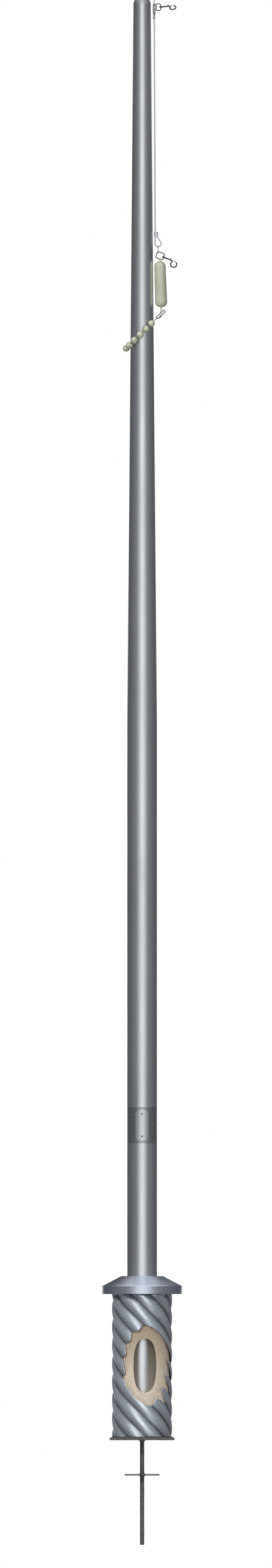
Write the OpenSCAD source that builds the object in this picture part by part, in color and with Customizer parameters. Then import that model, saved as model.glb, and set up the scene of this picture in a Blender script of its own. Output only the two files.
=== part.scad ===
// Tapered aluminium flagpole, internal halyard, in-ground sleeve mounting.
// Millimetres. Z is up, the origin is the pole's axis at ground level, the access door faces -Y.

/* [Shaft] */
// Outside diameter of the butt
butt_dia = 152.4; // [120:0.1:200]
// Outside diameter at the top
top_dia = 88.9; // [70:0.1:110]
// Wall thickness of the shaft
shaft_wall = 4.8; // [3:0.1:8]
// Height above ground where the taper starts
straight_height = 2900; // [1500:10:4000]
// Height of the shaft's top above ground
shaft_height = 6575; // [5000:5:9000]

/* [Access door] */
// Height of the door's centre above ground
door_height = 861; // [500:1:1400]
// Width of the door
door_width = 71; // [50:0.5:80]
// Length of the door
door_length = 155; // [120:1:200]
// Corner radius of the door
door_corner = 22; // [8:0.5:24]
// Gap between the door and its frame
door_gap = 1.5; // [0.8:0.1:3]
// Width of the reinforcing frame
frame_width = 139; // [110:0.5:145]
// Length of the reinforcing frame
frame_length = 183; // [175:1:240]
// Thickness of the frame and the door
frame_thick = 3.2; // [2:0.1:6]
// Width of the hand hole behind the door
hand_hole_width = 56; // [40:1:60]
// Length of the hand hole behind the door
hand_hole_length = 94; // [70:1:100]
// Distance of each door screw from the door's centre
door_screw_reach = 57; // [54:0.5:64]
// Azimuth of the frame screws from the front
frame_screw_angle = 44.6; // [40:0.1:52]
// Height step between the frame screws
frame_screw_step = 48; // [40:1:60]
// Diameter of the screw shanks
screw_dia = 5; // [4:0.1:6]
// Diameter of the screw heads
screw_head_dia = 9.5; // [8:0.1:12]
// Height of the screw heads
screw_head_height = 2.6; // [1.5:0.1:4]

/* [Flash collar] */
// Radius of the flat top
collar_top_radius = 106; // [90:1:130]
// Radius of the rim
collar_radius = 203; // [170:1:240]
// Height of the flat top above ground
collar_height = 92; // [70:1:120]
// Height of the vertical rim
collar_rim = 42; // [20:1:60]
// Sheet thickness of the collar
collar_sheet = 3; // [1.5:0.1:5]

/* [Ground sleeve] */
// Outside diameter over the corrugations
sleeve_dia = 307; // [300:1:330]
// Depth of the sleeve below ground
sleeve_depth = 730; // [650:5:900]
// Depth of a corrugation
corrugation_depth = 12.7; // [8:0.1:14]
// Number of helical corrugations
corrugation_starts = 9; // [6:1:12]
// Drop of one corrugation in a full turn
corrugation_lead = 838; // [600:1:1200]
// Sheet thickness of the sleeve
sleeve_sheet = 2.2; // [1.5:0.1:4]
// Width of the window in the sleeve
window_width = 240; // [180:1:250]
// Length of the window in the sleeve
window_length = 400; // [300:1:440]
// Sideways offset of the window's centre
window_shift = 28; // [0:1:30]
// Depth of the window's centre below ground
window_depth = 364; // [340:1:400]
// Width of the hole through the sand
sand_hole_width = 119; // [90:1:130]
// Length of the hole through the sand
sand_hole_length = 274; // [200:1:290]
// Sideways offset of the sand hole's centre
sand_hole_shift = 15; // [0:1:20]
// Depth of the sand's top below ground
sand_top_depth = 25; // [10:1:60]

/* [Base plate and spike] */
// Side of the square base plate
plate_side = 331; // [310:1:380]
// Thickness of the base plate
plate_thick = 14; // [8:1:20]
// Diameter of the ground spike
spike_dia = 22; // [16:0.5:30]
// Length of the spike below the base plate
spike_length = 533; // [350:1:700]
// Side of the small support plate
support_side = 178; // [120:1:220]
// Thickness of the small support plate
support_thick = 8; // [5:1:14]
// Distance of the support plate below the base plate
support_drop = 172; // [120:1:260]

/* [Truck and finial] */
// Height of the conical skirt on the shaft's top
skirt_height = 13; // [8:0.5:24]
// Radius of the socket above the skirt
socket_radius = 38; // [34:0.5:38]
// Height of the socket above the skirt
socket_height = 10; // [6:0.5:20]
// Length of the spigot inside the shaft
spigot_length = 90; // [60:1:140]
// Radius of the bearing neck
neck_radius = 20; // [18:0.5:22]
// Radius of the halyard passage through the neck
passage_radius = 12; // [10:0.5:13]
// Radius of the retaining ring on the neck
ring_radius = 25; // [24:0.5:27]
// Thickness of the truck's base disc
truck_base = 12; // [10:0.5:16]
// Pitch radius of the sheave
sheave_pitch_radius = 30.5; // [29:0.5:34]
// Width of the sheave
sheave_width = 14; // [12:0.5:15]
// Thickness of each cheek
cheek_thick = 9; // [6:0.5:12]
// Radius of the sheave pin
sheave_pin_radius = 5; // [4:0.5:7]
// Thickness of the truck's roof over the sheave
roof_thick = 10; // [8:0.5:16]
// Radius of the finial's stem
stem_radius = 8; // [6:0.5:10]
// Visible length of the finial's stem
stem_length = 26; // [15:1:60]
// Diameter of the ball
ball_dia = 152; // [120:1:200]
// Wall thickness of the ball
ball_wall = 1.6; // [1:0.1:3]

/* [Halyard] */
// Radius of the halyard cable
cable_radius = 4; // [3:0.1:4.5]
// Drop from the shaft's top to the top of the ferrule
ferrule_drop = 1165; // [800:5:1600]
// Sideways lean of the halyard at the ferrule
cable_lean = 5.6; // [2:0.1:10]
// Length of the ferrule
ferrule_length = 25; // [18:0.5:35]
// Radius of the loop below the ferrule
loop_radius = 15.5; // [14:0.5:18]
// Drop from the ferrule to the loop's centre
loop_drop = 35; // [30:0.5:45]
// Wire radius of the connecting link
link_wire = 1.6; // [1.2:0.1:2]
// Length of the connecting link between its end wires
link_length = 37.4; // [34:0.1:45]

/* [Swivel snaps] */
// Drop of the upper snap below the shaft's top
upper_snap_drop = 19.3; // [15:0.1:60]
// Upward tilt of the upper snap
upper_snap_tilt = 5.3; // [0:0.1:15]
// Roll of the upper snap about its own shank
upper_snap_roll = 52; // [0:1:60]
// Width of the upper snap's eye
upper_eye_width = 24.4; // [24:0.1:32]
// Height of the upper snap's eye
upper_eye_height = 34; // [32:0.1:42]
// Downward tilt of the lower snap
lower_snap_tilt = 21.4; // [15:0.1:28]
// Width of the lower snap's eye
lower_eye_width = 38; // [36:0.1:44]
// Height of the lower snap's eye
lower_eye_height = 34; // [32:0.1:38]
// Corner radius of the eyes
eye_corner = 8; // [6:0.1:9]
// Wire radius of the eyes
eye_wire = 2.5; // [2:0.1:3]
// Length of the shank
shank_length = 46; // [42:0.5:54]
// Radius of the shank
shank_radius = 4; // [3.6:0.1:4.6]
// Radius of the hook ring
hook_radius = 15.4; // [14:0.1:18]
// Wire radius of the hook ring
hook_wire = 3.5; // [3:0.1:4]
// Radius of the sliding bolt
bolt_radius = 2.1; // [1.8:0.1:2.3]
// Travel of the sliding bolt
bolt_travel = 11; // [8:0.5:12]

/* [Counterweight] */
// Diameter near the top
weight_top_dia = 58; // [45:1:66]
// Diameter near the bottom
weight_dia = 62; // [50:1:66]
// Length of the counterweight
weight_length = 235; // [180:1:300]
// Lean of the counterweight
weight_lean = 1.75; // [1:0.05:2.5]
// Clear gap between the shaft and the counterweight
hang_gap = 5.4; // [5.2:0.1:8]
// Width of the strap on top of the counterweight
strap_width = 10; // [7:0.5:11]
// Thickness of the strap
strap_thick = 2.4; // [1.6:0.1:3]
// Radius of the cord below the counterweight
cord_radius = 1.8; // [1.4:0.1:2]

/* [Retainer ring] */
// Diameter of a bead
bead_dia = 36; // [30:0.5:37]
// Number of beads
bead_count = 12; // [10:1:12]
// Clear gap between the shaft and the beads
bead_gap = 5.6; // [5.2:0.1:8]
// Drop from the counterweight's lower end to the ring's centre
ring_drop = 132.98; // [128:0.01:150]
// Angle of the ring from level
ring_tilt = 44.5; // [40:0.5:46]
// Angle at which the first bead sits on the ring
first_bead_angle = 51; // [48:0.5:56]
// Radius of the retainer's cable
retainer_radius = 1.6; // [1.2:0.1:2]
// Wire radius of the quick link
quick_wire = 2.5; // [2:0.1:2.8]
// Half width of the quick link between its wires
quick_half_width = 6; // [5.8:0.1:7]
// Length of the quick link's straight part
quick_straight = 44.6; // [42:0.1:50]
// Angle of the quick link from level
quick_tilt = 43; // [40:0.5:46]

/* [Fits] */
// Gap where one piece sits on another
fit = 0.3; // [0.2:0.05:0.4]
// Radial clearance around a turning neck or a sliding bolt
run_fit = 0.4; // [0.3:0.05:0.5]
// End play of the truck on its socket
end_play = 1; // [0.6:0.1:1.5]

/* [Hidden] */
$fn = 96;
butt_radius = butt_dia / 2;
top_radius = top_dia / 2;

function pole_radius(z) = z < straight_height ? butt_radius
    : butt_radius + (top_radius - butt_radius) * (z - straight_height)
      / (shaft_height - straight_height);

// Truck heights
socket_top = shaft_height + skirt_height + socket_height;
truck_bottom = socket_top + end_play;
truck_floor = truck_bottom + truck_base;
ring_height = 8;
sheave_outer = sheave_pitch_radius + cable_radius + 2;
sheave_z = truck_floor + end_play + ring_height + 3 + sheave_outer;
truck_roof = sheave_z + sheave_outer + 3;
truck_top = truck_roof + roof_thick;
truck_radius = socket_radius - 1;
cheek_half = sheave_width / 2 + 1.5;
truck_half = cheek_half + cheek_thick;
boss_height = 12;
ball_z = truck_top + boss_height + stem_length + ball_dia / 2;

// Halyard path, in the XZ plane
cable_x = 2 * sheave_pitch_radius;
ferrule_top = shaft_height - ferrule_drop;
ferrule_bottom = ferrule_top - ferrule_length;
leg_x = cable_x + cable_lean;
tail_x = leg_x + 2 * cable_radius + 0.6;
loop_x = leg_x + loop_radius - 0.6;
loop_z = ferrule_bottom - loop_drop;

function cable_at(z) = cable_x + cable_lean * (sheave_z - z) / (sheave_z - ferrule_bottom);
function tangent_angle(x, side) =
    let (dx = x - loop_x, dz = ferrule_bottom - loop_z, d = sqrt(dx * dx + dz * dz))
    atan2(dz, dx) + side * acos(loop_radius / d);
function loop_point(a) = [loop_x + loop_radius * cos(a), loop_z + loop_radius * sin(a)];

// Lower snap, hung from the loop by the link
link_top = loop_z - loop_radius + cable_radius + link_wire + fit;
link_bottom = link_top - link_length;
corner_tilt = 45 - lower_snap_tilt;
corner_z = link_bottom + (eye_wire + link_wire + fit) / cos(corner_tilt);
corner_in = eye_corner * (1 - sin(45));
corner_local = [-lower_eye_width + corner_in, lower_eye_height / 2 - corner_in];
lower_x = loop_x - (corner_local[0] * cos(lower_snap_tilt) + corner_local[1] * sin(lower_snap_tilt));
lower_z = corner_z - (corner_local[1] * cos(lower_snap_tilt) - corner_local[0] * sin(lower_snap_tilt));

// Upper snap, clipped to the halyard
upper_z = shaft_height - upper_snap_drop;
upper_bar_gap = 2.4;
upper_bar_x = cable_at(upper_z) + cable_radius + upper_bar_gap + eye_wire;
upper_x = upper_bar_x + upper_eye_width * cos(upper_snap_tilt);
upper_bar_z = upper_z - upper_eye_width * sin(upper_snap_tilt);

// Counterweight, strapped to the lower snap's eye
bar_mid = [lower_x - lower_eye_width / 2 * cos(lower_snap_tilt)
             - lower_eye_height / 2 * sin(lower_snap_tilt),
           lower_z + lower_eye_width / 2 * sin(lower_snap_tilt)
             - lower_eye_height / 2 * cos(lower_snap_tilt)];
weight_x = pole_radius(bar_mid[1] - 60) + hang_gap + weight_top_dia / 2;
bar_z = bar_mid[1] - (weight_x - bar_mid[0]) * tan(lower_snap_tilt);
strap_inner = eye_wire + 1.1;
strap_top = bar_z + eye_wire / cos(lower_snap_tilt)
    + strap_width / 2 * tan(lower_snap_tilt) + 2 * fit;
weight_top = strap_top - strap_inner - 10.5;
weight_end_x = weight_x + weight_length * sin(weight_lean);
weight_end_z = weight_top - weight_length * cos(weight_lean);

// Retainer ring round the shaft
bead_radius = bead_dia / 2;
ring_z = weight_end_z - ring_drop;
ring_low_radius = pole_radius(ring_z - 90);
ring_shift = -3;
ring_half_x = ring_low_radius + bead_gap + bead_radius + ring_shift;
ring_half_y = ring_low_radius + bead_gap + bead_radius + 2.5;
ring_long = ring_half_x / cos(ring_tilt);
ring_end = [ring_shift + ring_half_x, 0, ring_z + ring_half_x * tan(ring_tilt)];

function ring_point(a) = [ring_shift + ring_half_x * cos(a), -ring_half_y * sin(a),
                          ring_z + ring_half_x * tan(ring_tilt) * cos(a)];
function ring_speed(a) = sqrt(pow(ring_long * sin(a), 2) + pow(ring_half_y * cos(a), 2));
function arc_to(a) = a <= first_bead_angle ? 0 : arc_to(a - 1) + ring_speed(a - 0.5);
ring_span = 360 - 2 * first_bead_angle;
arc_table = [for (i = [0:ring_span]) [arc_to(first_bead_angle + i), first_bead_angle + i]];
bead_step = arc_table[ring_span][0] / (bead_count - 1);
function bead_angle(i) = lookup(i * bead_step, arc_table);
function bead_turn(i) = atan2(-ring_half_y * sin(bead_angle(i)), ring_long * cos(bead_angle(i)));
bead_at = [for (i = [0:bead_count - 1]) ring_point(bead_angle(i))];
lead_at = [ring_end, ring_point(first_bead_angle * 0.55)];
tail_at = [ring_point(-first_bead_angle * 0.55), ring_end];
cable_path = concat(lead_at, bead_at, tail_at);

// Quick link between the counterweight's cord and the retainer
quick_dir = [cos(quick_tilt), 0, sin(quick_tilt)];
quick_low = ring_end + quick_dir * (quick_half_width - quick_wire - retainer_radius - fit);
hook_z = quick_low[2] + (weight_end_x - quick_low[0]) * tan(quick_tilt)
    + quick_half_width / cos(quick_tilt);
cord_bottom = hook_z - (quick_wire + fit + cord_radius) / cos(quick_tilt);
cord_half = quick_wire + cord_radius + 2.8;

// Sleeve
plate_top = -sleeve_depth;
plate_bottom = plate_top - plate_thick;
sleeve_inner = sleeve_dia / 2 - corrugation_depth - sleeve_sheet;
sand_radius = sleeve_inner - 1;

function round_rect(w, h, r, n = 8) =
    [for (q = [0:3], i = [0:n])
        let (a = 90 * q + 90 * i / n,
             sx = (q == 0 || q == 3) ? 1 : -1,
             sy = q < 2 ? 1 : -1)
        [sx * (w / 2 - r) + r * cos(a), sy * (h / 2 - r) + r * sin(a)]];

// A prism along -Y, standing on the XZ plane
module front_prism(pts, z, reach) {
    translate([0, 0, z]) rotate([90, 0, 0]) linear_extrude(height = reach) polygon(pts);
}

// A round rod from one point to another
module rod(p, q, r) {
    v = q - p;
    d = norm(v);
    translate(p) rotate([0, acos(v[2] / d), atan2(v[1], v[0])]) cylinder(r = r, h = d);
}

// An oval ring of round wire, its straight sides along Z, lying in the XZ plane
module oval_ring(half, straight, wire) {
    for (s = [-1, 1])
        translate([s * half, 0, 0]) cylinder(r = wire, h = straight);
    translate([0, 0, straight]) rotate([90, 0, 0])
        rotate_extrude(angle = 180) translate([half, 0]) circle(r = wire);
    rotate([90, 180, 0])
        rotate_extrude(angle = 180) translate([half, 0]) circle(r = wire);
}

module shaft_blank() {
    rotate_extrude() polygon([
        [butt_radius - shaft_wall, plate_top], [butt_radius, plate_top],
        [butt_radius, straight_height], [top_radius, shaft_height],
        [top_radius - shaft_wall, shaft_height],
        [butt_radius - shaft_wall, straight_height]]);
}

module screw_places(r) {
    for (s = [-1, 1], k = [-1:1])
        translate([0, 0, door_height + k * frame_screw_step])
            rotate([0, 0, s * frame_screw_angle]) translate([0, -r, 0])
                rotate([90, 0, 0]) children();
}

module door_screw_places(r) {
    for (s = [-1, 1])
        translate([0, -r, door_height + s * door_screw_reach]) rotate([90, 0, 0]) children();
}

module shaft() {
    color([0.62, 0.64, 0.66])
    difference() {
        shaft_blank();
        front_prism(round_rect(hand_hole_width, hand_hole_length, 16), door_height,
                    butt_radius + 20);
        screw_places(butt_radius - 12) cylinder(d = screw_dia + 2 * fit, h = 24);
        door_screw_places(butt_radius - 12) cylinder(d = screw_dia + 2 * fit, h = 24);
    }
}

module saddle(w, h, r, inner) {
    intersection() {
        difference() {
            translate([0, 0, door_height - h]) cylinder(r = butt_radius + fit + frame_thick, h = 2 * h);
            translate([0, 0, door_height - h - 1]) cylinder(r = inner, h = 2 * h + 2);
        }
        front_prism(round_rect(w, h, r), door_height, butt_radius + 20);
    }
}

module door_frame() {
    color([0.42, 0.44, 0.46])
    difference() {
        saddle(frame_width, frame_length, 6, butt_radius + fit);
        front_prism(round_rect(door_width + 2 * door_gap, door_length + 2 * door_gap,
                               door_corner + door_gap), door_height, butt_radius + 20);
        screw_places(butt_radius - 12) cylinder(d = screw_dia + 2 * fit, h = 24);
    }
}

module access_door() {
    color([0.50, 0.52, 0.54])
    difference() {
        saddle(door_width, door_length, door_corner, butt_radius + fit);
        door_screw_places(butt_radius - 12) cylinder(d = screw_dia + 2 * fit, h = 24);
    }
}

module pan_screw() {
    difference() {
        union() {
            translate([0, 0, -frame_thick - 11]) cylinder(d = screw_dia, h = frame_thick + 12);
            cylinder(d1 = screw_head_dia, d2 = screw_head_dia - 1.6, h = screw_head_height);
        }
        for (a = [0, 90])
            rotate([0, 0, a]) translate([-2.6, -0.6, screw_head_height - 1.2]) cube([5.2, 1.2, 3]);
    }
}

module door_frame_screws() {
    color([0.75, 0.75, 0.74]) screw_places(butt_radius + fit + frame_thick) pan_screw();
}

module door_screws() {
    color([0.75, 0.75, 0.74]) door_screw_places(butt_radius + fit + frame_thick) pan_screw();
}

module flash_collar() {
    slope = atan2(collar_height - collar_rim, collar_radius - collar_top_radius);
    drop = collar_sheet * tan(slope / 2);
    rise = collar_sheet * tan((90 - slope) / 2);
    color([0.50, 0.55, 0.62])
    rotate_extrude() polygon([
        [butt_radius + fit, collar_height], [collar_top_radius, collar_height],
        [collar_radius, collar_rim], [collar_radius, 0],
        [collar_radius - collar_sheet, 0],
        [collar_radius - collar_sheet, collar_rim - rise],
        [collar_top_radius - drop, collar_height - collar_sheet],
        [butt_radius + fit, collar_height - collar_sheet]]);
}

// Wavy outline of a torn or dug opening
function ragged(w, h, dx, rough) =
    [for (i = [0:47])
        let (a = 7.5 * i,
             k = 1 + rough * (sin(5 * a + 20) + 0.6 * sin(11 * a + 70)),
             c = cos(a), s = sin(a))
        [dx + w / 2 * k * sign(c) * pow(abs(c), 0.62), h / 2 * k * sign(s) * pow(abs(s), 0.62)]];

module corrugated_tube() {
    mid = sleeve_dia / 2 - corrugation_depth / 2;
    wave = corrugation_depth / 2;
    count = 5 * corrugation_starts;
    outer = [for (i = [0:count - 1]) let (a = 360 * i / count, r = mid + wave * cos(corrugation_starts * a))
             r * [cos(a), sin(a)]];
    inner = [for (i = [0:count - 1]) let (a = 360 * i / count,
                r = mid - sleeve_sheet + wave * cos(corrugation_starts * a)) r * [cos(a), sin(a)]];
    translate([0, 0, -sleeve_depth])
        linear_extrude(height = sleeve_depth, twist = 360 * sleeve_depth / corrugation_lead,
                       slices = 30, convexity = 8, $fn = 0)
            difference() { polygon(outer); polygon(inner); }
}

module ground_sleeve() {
    color([0.70, 0.72, 0.74])
    difference() {
        corrugated_tube();
        front_prism(ragged(window_width, window_length, window_shift, 0.018), -window_depth,
                    sleeve_dia);
    }
}

module sleeve_base_plate() {
    color([0.45, 0.46, 0.48])
    translate([-plate_side / 2, -plate_side / 2, plate_bottom])
        cube([plate_side, plate_side, plate_thick]);
}

module sand_fill() {
    color([0.66, 0.56, 0.44])
    difference() {
        rotate_extrude() polygon([
            [butt_radius + fit, plate_top], [sand_radius, plate_top],
            [sand_radius, -sand_top_depth], [butt_radius + fit, -sand_top_depth]]);
        front_prism(ragged(sand_hole_width, sand_hole_length, sand_hole_shift, 0.012),
                    -window_depth, sleeve_dia);
    }
}

module ground_spike() {
    color([0.35, 0.36, 0.37])
    translate([0, 0, plate_bottom - spike_length]) cylinder(d = spike_dia, h = spike_length);
}

module spike_support_plate() {
    z = plate_bottom - support_drop - support_thick;
    color([0.42, 0.43, 0.45])
    difference() {
        translate([-support_side / 2, -support_side / 2, z])
            cube([support_side, support_side, support_thick]);
        translate([0, 0, z - 1]) cylinder(d = spike_dia + 2 * fit, h = support_thick + 2);
    }
}

module truck_socket() {
    bore = top_radius - shaft_wall - fit;
    color([0.66, 0.68, 0.70])
    rotate_extrude() polygon([
        [passage_radius, shaft_height - spigot_length], [bore, shaft_height - spigot_length],
        [bore, shaft_height], [top_radius, shaft_height],
        [socket_radius + 1.5, shaft_height + skirt_height],
        [socket_radius, shaft_height + skirt_height], [socket_radius, socket_top],
        [neck_radius, socket_top], [neck_radius, truck_floor + end_play + ring_height],
        [passage_radius, truck_floor + end_play + ring_height]]);
}

module truck_retaining_ring() {
    color([0.55, 0.50, 0.38])
    translate([0, 0, truck_floor + end_play]) difference() {
        cylinder(r = ring_radius, h = ring_height);
        translate([0, 0, -1]) cylinder(r = neck_radius + fit, h = ring_height + 2);
    }
}

module truck_housing() {
    height = truck_top - truck_bottom;
    color([0.60, 0.62, 0.64])
    difference() {
        union() {
            translate([0, 0, truck_bottom]) cylinder(r = truck_radius, h = truck_base);
            intersection() {
                translate([0, 0, truck_bottom]) cylinder(r = truck_radius, h = height);
                translate([-truck_radius, -truck_half, truck_bottom])
                    cube([2 * truck_radius, 2 * truck_half, height]);
            }
            translate([sheave_pitch_radius, truck_half, sheave_z]) rotate([90, 0, 0])
                cylinder(r = sheave_outer + 6, h = 2 * truck_half);
            translate([0, 0, truck_top - 1])
                cylinder(r1 = truck_half - 0.5, r2 = stem_radius + 7, h = boss_height + 1);
        }
        translate([0, 0, truck_bottom - 1])
            cylinder(r = neck_radius + run_fit, h = truck_base + 2);
        translate([0, 0, truck_floor])
            cylinder(r = ring_radius + 2, h = ring_height + end_play + 2);
        translate([-sheave_outer + sheave_pitch_radius - 3, -cheek_half, truck_floor])
            cube([3 * sheave_outer, 2 * cheek_half, truck_roof - truck_floor]);
        translate([sheave_pitch_radius, truck_half + 1, sheave_z]) rotate([90, 0, 0])
            cylinder(r = sheave_pin_radius + fit, h = 2 * truck_half + 2);
        translate([0, 0, truck_top - 4]) cylinder(r = stem_radius + fit, h = boss_height + 5);
    }
}

module truck_sheave() {
    half = sheave_width / 2;
    deep = sheave_pitch_radius - cable_radius - fit;
    color([0.72, 0.62, 0.36])
    translate([sheave_pitch_radius, 0, sheave_z]) rotate([90, 0, 0])
        difference() {
            translate([0, 0, -half]) cylinder(r = sheave_outer, h = sheave_width);
            translate([0, 0, -half - 1])
                cylinder(r = sheave_pin_radius + run_fit, h = sheave_width + 2);
            rotate_extrude() polygon([
                [deep, -cable_radius - fit], [sheave_outer + 1, -half + 0.8],
                [sheave_outer + 1, half - 0.8], [deep, cable_radius + fit]]);
        }
}

module sheave_pin() {
    color([0.55, 0.56, 0.58])
    translate([sheave_pitch_radius, 0, sheave_z]) rotate([90, 0, 0]) {
        translate([0, 0, -truck_half - fit]) cylinder(r = sheave_pin_radius, h = 2 * (truck_half + fit));
        for (s = [0, 1]) mirror([0, 0, s])
            translate([0, 0, truck_half]) cylinder(r = sheave_pin_radius + 3, h = 3);
    }
}

module finial_stem() {
    color([0.62, 0.62, 0.60]) {
        translate([0, 0, truck_top - 4])
            cylinder(r = stem_radius, h = boss_height + 4 + stem_length + 34);
        translate([0, 0, truck_top + boss_height]) cylinder(r = stem_radius + 5, h = 6, $fn = 6);
    }
}

module finial_ball() {
    color([0.85, 0.66, 0.22])
    translate([0, 0, ball_z]) difference() {
        union() {
            sphere(d = ball_dia);
            translate([0, 0, -ball_dia / 2 - 3]) cylinder(r = stem_radius + 8, h = 10);
        }
        sphere(d = ball_dia - 2 * ball_wall);
        translate([0, 0, -ball_dia / 2 - 4]) cylinder(r = stem_radius + fit, h = 30);
    }
}

module halyard() {
    left = tangent_angle(leg_x, 1);
    right = tangent_angle(tail_x, -1);
    pl = loop_point(left);
    pr = loop_point(right);
    knuckle = cable_radius + 0.25;
    color([0.80, 0.80, 0.78]) {
        translate([0, 0, shaft_height - spigot_length])
            cylinder(r = cable_radius, h = sheave_z - shaft_height + spigot_length);
        translate([sheave_pitch_radius, 0, sheave_z]) rotate([90, 0, 0])
            rotate_extrude(angle = 180) translate([sheave_pitch_radius, 0]) circle(r = cable_radius);
        rod([cable_x, 0, sheave_z], [leg_x, 0, ferrule_bottom], cable_radius);
        rod([leg_x, 0, ferrule_bottom], [pl[0], 0, pl[1]], cable_radius);
        translate([loop_x, 0, loop_z]) rotate([90, 0, 0]) rotate([0, 0, left])
            rotate_extrude(angle = 360 + right - left) translate([loop_radius, 0]) circle(r = cable_radius);
        rod([pr[0], 0, pr[1]], [tail_x, 0, ferrule_bottom], cable_radius);
        translate([tail_x, 0, ferrule_bottom]) cylinder(r = cable_radius, h = ferrule_length - 3);
        for (p = [[0, sheave_z], [cable_x, sheave_z], [leg_x, ferrule_bottom], pl, pr,
                  [tail_x, ferrule_bottom]])
            translate([p[0], 0, p[1]]) sphere(r = knuckle);
    }
}

// An upright oval block about both cable runs, at radius r
module oval(r, z, h) {
    for (x = [leg_x, tail_x]) translate([x, 0, z]) cylinder(r = r, h = h);
    translate([leg_x, -r, z]) cube([tail_x - leg_x, 2 * r, h]);
}

module halyard_ferrule() {
    z = ferrule_bottom + 1.5;
    h = ferrule_length - 1.5;
    color([0.70, 0.70, 0.72])
    difference() {
        oval(cable_radius + 2.6, z, h);
        oval(cable_radius + fit, z - 1, h + 2);
    }
}

module halyard_clip() {
    r = cable_radius + fit;
    x = cable_at(upper_bar_z);
    color([0.45, 0.45, 0.46])
    difference() {
        union() {
            translate([x, 0, upper_bar_z]) rotate_extrude() polygon([
                [0, -42], [r + 1, -42], [r + 3, -26], [r + 3, 14], [r + 1.5, 19], [0, 19]]);
            translate([x, 0, upper_bar_z - 8]) {
                translate([upper_bar_x - x, 0, 0]) cylinder(r = eye_wire + 3, h = 16);
                translate([0, -eye_wire - 3, 0]) cube([upper_bar_x - x, 2 * eye_wire + 6, 16]);
            }
            translate([x, 0, upper_bar_z - 60]) cylinder(r = r + 1.4, h = 14);
        }
        rod([cable_at(upper_bar_z - 70), 0, upper_bar_z - 70],
            [cable_at(upper_bar_z + 40), 0, upper_bar_z + 40], r);
        translate([upper_bar_x, 0, upper_bar_z]) rotate([0, -upper_snap_tilt, 0])
            translate([0, 0, -15]) cylinder(r = eye_wire + fit, h = 30);
    }
}

module connecting_link() {
    half = cable_radius + link_wire + fit;
    color([0.72, 0.72, 0.72])
    translate([loop_x, 0, link_bottom + half]) rotate([0, 0, 90])
        oval_ring(half, link_length - 2 * half, link_wire);
}

// The snap's own frame: the shank along +X from the eye's far bar, the hook ring below it
module snap_eye(w, h) {
    half = h / 2;
    color([0.30, 0.30, 0.31])
    difference() {
        union() {
            for (s = [-1, 1])
                translate([-w + eye_corner, 0, s * half]) rotate([0, 90, 0])
                    cylinder(r = eye_wire, h = w - 2 * eye_corner);
            for (x = [-w, 0])
                translate([x, 0, -half + eye_corner]) cylinder(r = eye_wire, h = h - 2 * eye_corner);
            for (q = [0:3]) {
                sx = (q == 0 || q == 3) ? 1 : -1;
                sz = q < 2 ? 1 : -1;
                translate([-w / 2 + sx * (w / 2 - eye_corner), 0, sz * (half - eye_corner)])
                    rotate([90, 0, 0]) rotate([0, 0, 90 * q])
                        rotate_extrude(angle = 90) translate([eye_corner, 0]) circle(r = eye_wire);
            }
            translate([-3.2, 0, 0]) rotate([0, 90, 0]) cylinder(r = 5.6, h = 6.4);
        }
        translate([-10, 0, 0]) rotate([0, 90, 0]) cylinder(r = 2.2 + run_fit, h = 20);
    }
}

module snap_hook() {
    cz = -hook_radius + 0.4;
    cx = shank_length + 15;
    bore = bolt_radius + run_fit;
    color([0.34, 0.34, 0.35])
    difference() {
        union() {
            translate([-7.2, 0, 0]) rotate([0, 90, 0]) cylinder(r = 4.6, h = 3.6);
            translate([-4, 0, 0]) rotate([0, 90, 0]) cylinder(r = 2.2, h = 9);
            translate([3.6, 0, 0]) rotate([0, 90, 0]) cylinder(r1 = 5.4, r2 = shank_radius, h = 6);
            translate([9.5, 0, 0]) rotate([0, 90, 0]) cylinder(r = shank_radius, h = shank_length - 9.5);
            translate([cx, 0, cz]) rotate([90, 0, 0]) rotate([0, 0, 134])
                rotate_extrude(angle = 286) translate([hook_radius, 0]) circle(r = hook_wire);
        }
        translate([16, 0, 0]) rotate([0, 90, 0]) cylinder(r = bore, h = cx + 7 - 16);
        translate([22 - bolt_travel + 11, -1.8, 0]) cube([bolt_travel + 10, 3.6, 12]);
    }
}

module snap_bolt() {
    end = shank_length + 20.6;
    knob = 22 + 11 + 5;
    color([0.46, 0.46, 0.47]) {
        translate([32, 0, 0]) rotate([0, 90, 0]) cylinder(r = bolt_radius, h = end - 32);
        translate([knob, 0, 0]) cylinder(r = 1.3, h = shank_radius + 2.6);
        translate([knob, 0, shank_radius + 4]) sphere(r = 2.8);
    }
}

module at_upper() {
    translate([upper_x, 0, upper_z]) rotate([0, -upper_snap_tilt, 0]) children();
}

module at_lower() {
    translate([lower_x, 0, lower_z]) rotate([0, lower_snap_tilt, 0]) children();
}

module upper_snap_eye() { at_upper() snap_eye(upper_eye_width, upper_eye_height); }
module upper_snap_hook() { at_upper() rotate([-upper_snap_roll, 0, 0]) snap_hook(); }
module upper_snap_bolt() { at_upper() rotate([-upper_snap_roll, 0, 0]) snap_bolt(); }
module lower_snap_eye() { at_lower() snap_eye(lower_eye_width, lower_eye_height); }
module lower_snap_hook() { at_lower() snap_hook(); }
module lower_snap_bolt() { at_lower() snap_bolt(); }

module at_weight() {
    translate([weight_x, 0, weight_top]) rotate([0, -weight_lean, 0]) children();
}

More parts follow.
